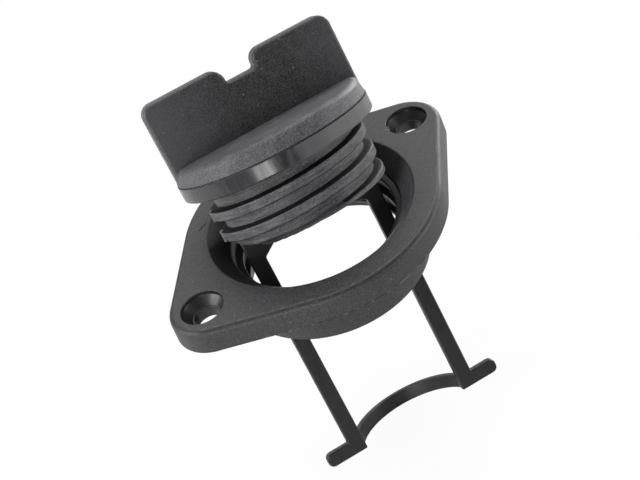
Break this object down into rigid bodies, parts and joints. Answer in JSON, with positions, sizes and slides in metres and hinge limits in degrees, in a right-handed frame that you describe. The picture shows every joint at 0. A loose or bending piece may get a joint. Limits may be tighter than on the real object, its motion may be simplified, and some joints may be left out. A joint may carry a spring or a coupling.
{
  "type": "captive drain plug with flange socket",
  "caption": "Threaded boat drain plug with a wing handle, held in its lobed flange socket by a hanging retainer.",
  "frame": {"origin": "midpoint between the two screw holes, on the flange's back face, on the bore's axis", "axes": "+Z outward along the bore, away from the hull; +X from one screw hole to the other"},
  "size_m": [0.0724, 0.0538, 0.0811],
  "materials": {
    "black_plastic": "matte",
    "black_rubber": "satin"
  },
  "bodies": {
    "socket": {"socket": "black_plastic"},
    "retainer": {"retainer": "black_plastic"},
    "plug": {"plug": "black_plastic", "seal_ring": "black_rubber"}
  },
  "joints": [
    {"name": "retainer_slide", "type": "slide", "parent": "socket", "child": "retainer", "axis": [0.1471, 0.3912, 0.9085], "range_m": [0, 0.0295]},
    {"name": "plug_turn", "type": "hinge", "parent": "retainer", "child": "plug", "pos_m": [0.00178, 0.00521, 0.01667], "axis": [0.1471, 0.3912, 0.9085], "continuous": true}
  ]
}
